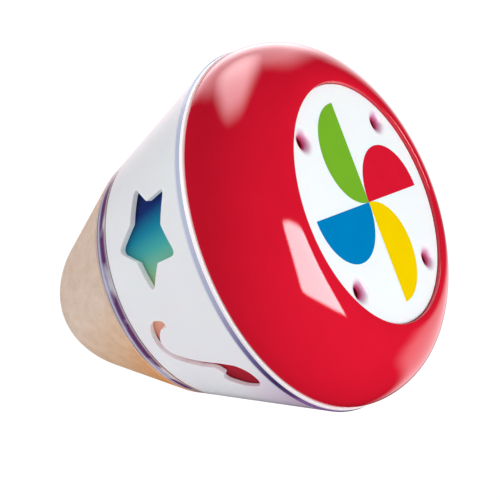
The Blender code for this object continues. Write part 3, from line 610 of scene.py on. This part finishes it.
def beech():
    """A pale tone with fine grain and flecks along the axis, with painted orange bounce light towards the
    warm side and the side opposite.
    """
    nodes = Nodes("beech_wood")
    nodes.set(Roughness=0.5, IOR=1.45, Coat_Weight=0.15, Coat_Roughness=0.35)
    tone = nodes.noise(14, 4, (1, 1, 0.25))
    blended = nodes.ramp(tone, ((0.3, (0.72, 0.54, 0.43)), (0.7, (0.84, 0.67, 0.56))))
    layers = (
        (nodes.noise(300, 4, (1, 1, 0.12), 0.65), ((0.35, (0.90, 0.86, 0.82)), (0.62, (1.0, 1.0, 1.0)))),
        (nodes.noise(620, 2, (1, 1, 0.22)), ((0.2, (0.8, 0.7, 0.62)), (0.34, (1.0, 1.0, 1.0)))),
        # painted orange bounce light, towards the warm side and the side opposite it
        (
            nodes.side_share(12 * MM, WOOD_TOP_R, both=True),
            ((0.0, (1, 1, 1)), (0.45, (0.99, 0.84, 0.68)), (0.88, (1.0, 0.57, 0.23))),
        ),
    )
    for source, stops in layers:
        blended = nodes.mix(blended, nodes.ramp(source, stops))
    nodes.feed(blended)
    nodes.bump(nodes.noise(500, 3, (1, 1, 0.15)), 0.02 * MM, 0.25)
    return nodes.material


def ink(name, colour):
    nodes = Nodes(name)
    nodes.set(Roughness=0.45, Specular_IOR_Level=0.0)
    speckled(nodes, colour, 0.96, 120, (0.35, 0.65))
    return nodes.material


def metal(name, colour, roughness):
    nodes = Nodes(name)
    nodes.set(Metallic=1.0)
    speckled(nodes, colour, 0.85, 200, (0.3, 0.7), (1, 1, 6))
    worn = nodes.range(nodes.noise(350, 3), roughness - 0.06, roughness + 0.06)
    nodes.feed(worn, "Roughness")
    return nodes.material


# Pieces

def make_cap():
    lip = (FACE_R, CAP_HIGH.z)
    outer = [point for point in arc_chain(lip, 0, CAP_ARCS) if point[1] > CAP_EDGE_Z + 0.3 * MM]
    seat_z = DISC_LOW.z - GAP
    floor_z = seat_z - 2.4 * MM
    inner = [
        point for point in reversed(arc_chain(lip, 0, CAP_ARCS, inset=CAP_WALL, pieces=4))
        if CAP_EDGE_Z + 0.5 * MM < point[1] < floor_z
    ]
    edge_r = outer[-1][0]
    lip_round = [
        (FACE_R, seat_z), (FACE_R, CAP_HIGH.z - 0.5 * MM),
        *[
            (FACE_R + 0.45 * MM * (1 - math.cos(a)), CAP_HIGH.z - 0.45 * MM * (1 - math.sin(a)))
            for a in [math.radians(15 * i) for i in range(6)]
        ],
    ]
    lip_end = lip_round[-1]
    outer = [point for point in outer if point[0] > lip_end[0] + 0.15 * MM]
    edge = [
        (edge_r, CAP_EDGE_Z + 0.3 * MM), (edge_r - 0.1 * MM, CAP_EDGE_Z + 0.08 * MM),
        (edge_r - 0.35 * MM, CAP_EDGE_Z), (edge_r - CAP_WALL, CAP_EDGE_Z),
    ]
    floor = [(inner[-1][0] - 1.2 * MM, floor_z), (0, floor_z)]
    cap = turned("red_cap", [(0, seat_z), *lip_round, *outer, *edge, *inner, *floor], closed=False)
    wells, bores = [], []
    head_z = SCREW_HIGH.z - SCREW_HEAD - GAP
    well_r, well_z = WELL_R + WELL_WALL, head_z - WELL_FLOOR
    bore_r, bore_z = SCREW_SHANK_R + GAP, head_z - 2 * MM
    well = [(0, floor_z + MM), (well_r, floor_z + MM), (well_r, well_z), (0, well_z)]
    bore = [(0, FACE_Z), (WELL_R, FACE_Z), (WELL_R, head_z), (bore_r, head_z), (bore_r, bore_z), (0, bore_z)]
    for i in range(4):
        at = on_ring(SCREW_RING, 45 + 90 * i)
        wells.append(turned(f"well_{i}", well, closed=False, steps=SMALL, at=at))
        bores.append(turned(f"bore_{i}", bore, closed=False, steps=SMALL, at=at))
    cut(cap, wells, "UNION")
    cut(cap, bores)
    dress(cap, red_lacquer(), "cap", ["cap_shell"])


def make_face():
    edge_r = DISC_HIGH.x + 0.2 * MM
    profile = rounded([
        (edge_r, DISC_HIGH.z, 0.2 * MM), (edge_r, DISC_LOW.z, 0), (0.001 * MM, DISC_LOW.z, 0),
        (0.001 * MM, DISC_HIGH.z, 0),
    ])
    body = [(0, DISC_HIGH.z)] + [point for point in profile if point[0] > MM] + [(0, DISC_LOW.z)]
    face = turned("white_face", body, closed=False)
    depth = DISC_THICKNESS + 0.2 * MM
    funnel = [
        (HOLE_TOP_R - HOLE_SLOPE * math.sin(a), DISC_HIGH.z - depth * (1 - math.cos(a)))
        for a in [math.radians(7.5 * step) for step in range(13)]
    ]
    hole = [(0, DISC_HIGH.z + MM), (HOLE_TOP_R, DISC_HIGH.z + MM), *funnel, (0, DISC_HIGH.z - depth)]
    holes = []
    for i in range(4):
        at = on_ring(SCREW_RING, 45 + 90 * i)
        holes.append(turned(f"hole_{i}", hole, closed=False, steps=SMALL * 2, at=at))
    cut(face, holes)
    dress(face, face_plastic(), "cap", ["face_disc"])


def make_petals():
    """Half-discs whose straight edges run out from the centre, each bulging anticlockwise."""
    radius = PETAL_LENGTH / 2
    arc = [math.radians(3 * i) for i in range(61)]
    outline = [(radius - radius * math.cos(a), radius * math.sin(a)) for a in arc]
    for name, degrees, colour in PETALS:
        mesh = prism(name, outline, PRINT_HEIGHT)
        lift = Matrix.Translation((0, 0, DISC_HIGH.z + PRINT_HEIGHT / 2 + 0.002 * MM))
        mesh.transform(lift @ Matrix.Rotation(math.radians(degrees), 4, "Z"))
        dress(link(name, mesh), ink(name + "_ink", colour), "cap")


def make_deck():
    rim_r, low = DECK_HIGH.x, RIM_Z + GAP
    plate_z, edge_z = low + 2 * MM, low + 1.1 * MM
    profile = rounded([
        (DECK_BORE_R, DECK_TOP_Z, 0), (DECK_HUB_R, DECK_TOP_Z, 0.3 * MM), (DECK_HUB_R, plate_z, 0),
        (DECK_RING_R, plate_z, 0), (DECK_RING_R, DECK_TOP_Z, 0.3 * MM), (DECK_RING_OUT, DECK_TOP_Z, 0.3 * MM),
        (DECK_RING_OUT, edge_z, 0), (rim_r, edge_z, 0.3 * MM), (rim_r, low, 0.3 * MM),
        (DECK_HUB_R, low, 0), (DECK_HUB_R, DECK_LOW.z, 0), (DECK_BORE_R, DECK_LOW.z, 0),
    ], 3)
    deck = turned("white_deck", profile)
    dress(deck, white_ring(), "cap", ["cap_deck"])


def make_cover():
    """Only its outer wall bends light; the rim and the inner walls let it straight through."""
    low = COVER_LOW.z
    flange_top = low + COVER_FLANGE
    band_z, foot_z = RIM_Z - RIM_BAND, low + FOOT_TOP
    profile = rounded([
        (cone_r(RIM_Z, WALL), RIM_Z, 0.3 * MM), (RIM_R, RIM_Z, 0.4 * MM), (cone_r(band_z), band_z, 0),
        (cone_r(foot_z), foot_z, 0), (cone_r(low), low, 0.5 * MM),
        (FLANGE_R, low, 0.3 * MM), (FLANGE_R, flange_top, 0.3 * MM),
        (cone_r(flange_top, WALL), flange_top, 0.4 * MM),
    ])
    cover = turned("clear_cover_fine", profile)
    dress(cover, clear_outside(), "base", ["clear_cover"])
    cover.visible_shadow = False
    cover.visible_diffuse = False
    cover.data.materials.append(clear_inside())
    cover.data.materials.append(clear_foot())
    for face in cover.data.polygons:
        middle = face.center
        outer = math.hypot(middle.x, middle.y) > cone_r(middle.z, WALL / 4)
        if outer and middle.z < foot_z:
            face.material_index = 2
        else:
            face.material_index = 0 if outer and middle.z < band_z else 1


def star_outline():
    corners = []
    for i in range(10):
        radius = STAR_R if i % 2 == 0 else STAR_R * STAR_INNER
        fillet = STAR_TIP_ROUND if i % 2 == 0 else STAR_NOTCH_ROUND
        angle = -math.pi / 2 + i * math.pi / 5
        corners.append((radius * math.cos(angle), radius * math.sin(angle), fillet))
    return rounded(corners)


def window_cutter(name, outline, degrees, resolution):
    """A prism through the shell at degrees, square to its slope, with the outline's +Y towards the cap."""
    mesh = prism(name, outline, WINDOW_CUT, resolution)
    angle = math.radians(degrees)
    across = Vector((-math.sin(angle), math.cos(angle), 0))
    outward = Vector((
        math.cos(angle) * math.cos(CONE_ANGLE), math.sin(angle) * math.cos(CONE_ANGLE), -math.sin(CONE_ANGLE)
    ))
    up = outward.cross(across)
    radius = cone_r(WINDOW_Z, (SHELL_OUT + SHELL_IN) / 2)
    centre = Vector((radius * math.cos(angle), radius * math.sin(angle), WINDOW_Z))
    mesh.transform(Matrix.Translation(centre) @ Matrix((across, up, outward)).transposed().to_4x4())
    return link(name, mesh)


def make_shell():
    top, low = SHELL_HIGH.z, SHELL_LOW.z
    flange_top = low + SHELL_FLANGE
    profile = rounded([
        (cone_r(top, SHELL_IN), top, 0.3 * MM), (cone_r(top, SHELL_OUT), top, 0.3 * MM),
        (cone_r(low, SHELL_OUT), low, 0.3 * MM), (FLANGE_R, low, 0), (FLANGE_R, flange_top, 0),
        (cone_r(flange_top, SHELL_IN), flange_top, 0.4 * MM),
    ], 3)
    shell = turned("white_shell", profile)
    note = [(x * MM, y * MM) for x, y in NOTE_OUTLINE]
    cutters = []
    for i in range(WINDOW_PAIRS):
        turn = i * 360 / WINDOW_PAIRS
        cutters.append(window_cutter(f"star_{i}", star_outline(), STAR_ANGLE + turn, 1))
        cutters.append(window_cutter(f"note_{i}", note, NOTE_ANGLE + turn, 8))
    cut(shell, cutters)
    soften(shell, 0.3 * MM)
    finish = white_plastic("white_plastic_shell", SHELL_WHITE, glow=SHELL_PAINTED_GLOW)
    dress(shell, finish, "base", ["window_shell"])


def make_drum():
    top, low = DRUM_HIGH.z, DRUM_LOW.z
    flange_low = top - DRUM_FLANGE
    profile = rounded([
        (DRUM_BORE_R, top, 0), (cone_r(top, DRUM_OUT), top, 0.4 * MM), (cone_r(low, DRUM_OUT), low, 0.4 * MM),
        (cone_r(low, DRUM_IN), low, 0.3 * MM), (cone_r(flange_low, DRUM_IN), flange_low, 0),
        (DRUM_BORE_R, flange_low, 0),
    ], 3)
    drum = turned("rainbow_drum", profile)
    dress(drum, rainbow(), "cap", ["color_drum"])


def make_wood():
    top_r, top_z = WOOD_TOP_R, WOOD_TOP_Z
    slope_r, slope_z = WOOD_SIDE * math.sin(WOOD_SLOPE_ANGLE), WOOD_SIDE * math.cos(WOOD_SLOPE_ANGLE)
    side = arc_chain((top_r - slope_r, top_z - slope_z), 90 + math.degrees(WOOD_SLOPE_ANGLE), WOOD_ARCS)
    profile = [
        (0, WOOD_BORE_Z), (WOOD_BORE_R, WOOD_BORE_Z), (WOOD_BORE_R, WOOD_POCKET_Z), (FLANGE_R, WOOD_POCKET_Z),
        (FLANGE_R, top_z), (top_r - 0.6 * MM, top_z), (top_r - 0.2 * MM, top_z - 0.12 * MM),
        (top_r, top_z - 0.5 * MM), *[point for point in side[:-1] if point[1] > 0.02 * MM],
        (side[-1][0], 0), (0, 0),
    ]
    wood = turned("beech_base", profile, closed=False)
    dress(wood, beech(), "base", ["wooden_base"])


def make_cap_screws(steel):
    """Pan heads with a cross recess, down in the cap's wells."""
    for i in range(4):
        node = f"cap_screw_{i + 1}"
        low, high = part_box(node)
        at = ((low.x + high.x) / 2, (low.y + high.y) / 2)
        under = high.z - SCREW_HEAD
        side = 0.5 * MM  # height of the head's straight side
        dome = [
            (SCREW_HEAD_R * math.sin(a), under + side + (SCREW_HEAD - side) * math.cos(a))
            for a in [math.radians(15 * step) for step in range(7)]
        ]
        shank = SCREW_SHANK_R
        profile = [*dome, (SCREW_HEAD_R, under), (shank, under), (shank, low.z + shank), (0, low.z)]
        piece = turned(f"cap_screw_fine_{i + 1}", profile, closed=False, steps=SMALL, at=at)
        slots = []
        for turn in (0, 90):
            shape = bmesh.new()
            bmesh.ops.create_cube(shape, size=1)
            bmesh.ops.scale(shape, vec=SCREW_SLOT, verts=shape.verts)
            twist = Matrix.Rotation(math.radians(turn + 20 * i), 3, "Z")
            bmesh.ops.rotate(shape, matrix=twist, verts=shape.verts)
            bmesh.ops.translate(shape, vec=(at[0], at[1], high.z), verts=shape.verts)
            mesh = bpy.data.meshes.new("slot")
            shape.to_mesh(mesh)
            shape.free()
            slots.append(link("slot", mesh))
        cut(piece, slots)
        dress(piece, steel, "cap", [node])


def finish_inner_pieces(materials):
    """Materials for the CAD nodes that stay as they are, by their record slot."""
    slots = {row["node"]: row["material_slot"] for row in record["subparts"]}
    for name, obj in frame["nodes"].items():
        if obj.hide_render:
            continue
        obj.data.materials.clear()
        obj.data.materials.append(materials[slots[name]])


# Stage

def area_light(name, place, aim, size, power):
    lamp = bpy.data.lights.new(name, "AREA")
    lamp.shape = "RECTANGLE"
    lamp.size, lamp.size_y = size
    lamp.energy = power
    holder = bpy.data.objects.new(name, lamp)
    holder.location = place
    holder.rotation_mode = "QUATERNION"
    holder.rotation_quaternion = (Vector(aim) - Vector(place)).to_track_quat("-Z", "Y")
    bpy.context.scene.collection.objects.link(holder)
    return holder


def camera_axes():
    """The picture's right and up, and the way back to the camera, in the row frame."""
    e, r = CAMERA_ELEVATION, CAMERA_ROLL
    level, rise = Vector((1, 0, 0)), Vector((0, math.sin(e), math.cos(e)))
    back = Vector((0, -math.cos(e), math.sin(e)))
    right = math.cos(r) * level + math.sin(r) * rise
    up = -math.sin(r) * level + math.cos(r) * rise
    return right, up, back


def make_camera():
    right, up, back = camera_axes()
    face = Vector((0, 0, FACE_Z))
    place = face + back * CAMERA_DISTANCE - (right * FACE_ACROSS + up * FACE_UP) * CAMERA_SHARE
    lens = bpy.data.cameras.new("camera")
    lens.sensor_width = 36
    lens.lens = lens.sensor_width * CAMERA_DISTANCE / CAMERA_SHARE
    lens.clip_start, lens.clip_end = 0.01, 20
    camera = bpy.data.objects.new("camera", lens)
    camera.matrix_world = Matrix.Translation(place) @ Matrix((right, up, back)).transposed().to_4x4()
    bpy.context.scene.collection.objects.link(camera)
    bpy.context.scene.camera = camera


def make_floor():
    shape = bmesh.new()
    bmesh.ops.create_grid(shape, x_segments=1, y_segments=1, size=4)
    mesh = bpy.data.meshes.new("floor")
    shape.to_mesh(mesh)
    shape.free()
    floor = link("floor", mesh)
    nodes = Nodes("pale_floor")
    nodes.set(Base_Color=(0.08, 0.08, 0.08, 1), Roughness=0.7, Specular_IOR_Level=0.1)
    nodes.set(Emission_Color=(1, 1, 1, 1), Emission_Strength=FLOOR_GLOW)
    floor.data.materials.append(nodes.material)
    floor.visible_glossy = False


def direction(azimuth, elevation):
    a, e = math.radians(azimuth), math.radians(elevation)
    return Vector((math.cos(a) * math.cos(e), math.sin(a) * math.cos(e), math.sin(e)))


def glow_at(u, v, patches):
    """Light at (u, v) from patches that fade smoothly from their middles out to their rims."""
    brightest = 0
    for (centre_u, centre_v), (half_u, half_v), lean, squareness, fade, strength in patches:
        across = abs(u - centre_u - lean * (v - centre_v)) / half_u
        rise = abs(v - centre_v) / half_v
        reach = (across ** squareness + rise ** squareness) ** (1 / squareness)
        t = min(max((1 - reach) / fade, 0), 1)
        brightest = max(brightest, strength * t * t * (3 - 2 * t))
    return brightest


def reflector(name, azimuth, elevation, patches):
    """A card one metre away that only glossy surfaces show, glowing where its soft-edged patches are."""
    shape = bmesh.new()
    bmesh.ops.create_grid(shape, x_segments=CARD_STEPS, y_segments=CARD_STEPS, size=CARD_HALF)
    mesh = bpy.data.meshes.new(name)
    shape.to_mesh(mesh)
    shape.free()
    glow = mesh.attributes.new("glow", "FLOAT", "POINT")
    for corner, value in zip(mesh.vertices, glow.data):
        value.value = glow_at(corner.co.x, corner.co.y, patches)
    card = link(name, mesh)
    facing = direction(azimuth, elevation)
    up = camera_axes()[1]
    rise = (up - up.dot(facing) * facing).normalized()
    across = rise.cross(facing)
    centre = LIT_POINT + facing * CARD_DISTANCE
    card.matrix_world = Matrix.Translation(centre) @ Matrix((across, rise, facing)).transposed().to_4x4()
    nodes = Nodes(name + "_glow")
    emission = nodes.add("ShaderNodeEmission", {"Color": CARD_COLOUR})
    strength = nodes.add("ShaderNodeAttribute", attribute_name="glow")
    nodes.link(strength.outputs["Fac"], emission.inputs["Strength"])
    clear = nodes.add("ShaderNodeBsdfTransparent")
    both = nodes.add("ShaderNodeAddShader")
    nodes.link(emission.outputs["Emission"], both.inputs[0])
    nodes.link(clear.outputs["BSDF"], both.inputs[1])
    nodes.surface(both.outputs["Shader"])
    nodes.material.cycles.emission_sampling = "NONE"
    card.data.materials.append(nodes.material)
    card.visible_camera = False
    card.visible_diffuse = False
    card.visible_transmission = False
    card.visible_shadow = False


def make_lights():
    world = bpy.data.worlds.new("studio")
    world.use_nodes = True
    background = world.node_tree.nodes["Background"]
    background.inputs["Color"].default_value = (1, 1, 1, 1)
    background.inputs["Strength"].default_value = WORLD_STRENGTH
    world.cycles_visibility.glossy = False
    bpy.context.scene.world = world
    key = area_light("key", LIT_POINT + direction(-10, 65) * 1.1, LIT_POINT, (0.5, 0.5), KEY_POWER)
    key.visible_glossy = False
    for card in CARDS:
        reflector(*card)


def make_scene():
    make_camera()
    steel = metal("steel", (0.62, 0.62, 0.64), 0.3)
    make_cap()
    make_face()
    make_petals()
    make_deck()
    make_cover()
    make_shell()
    make_drum()
    make_wood()
    make_cap_screws(steel)
    inner = {
        "steel": steel,
        "brass": metal("brass", (0.8, 0.58, 0.24), 0.28),
        "nylon": white_plastic("nylon", (0.8, 0.79, 0.72), 0.45),
        "grey_plastic": white_plastic("grey_plastic", (0.3, 0.31, 0.33), 0.5),
    }
    finish_inner_pieces(inner)
    make_floor()
    make_lights()
    bpy.context.scene.view_settings.view_transform = "Standard"


make_scene()
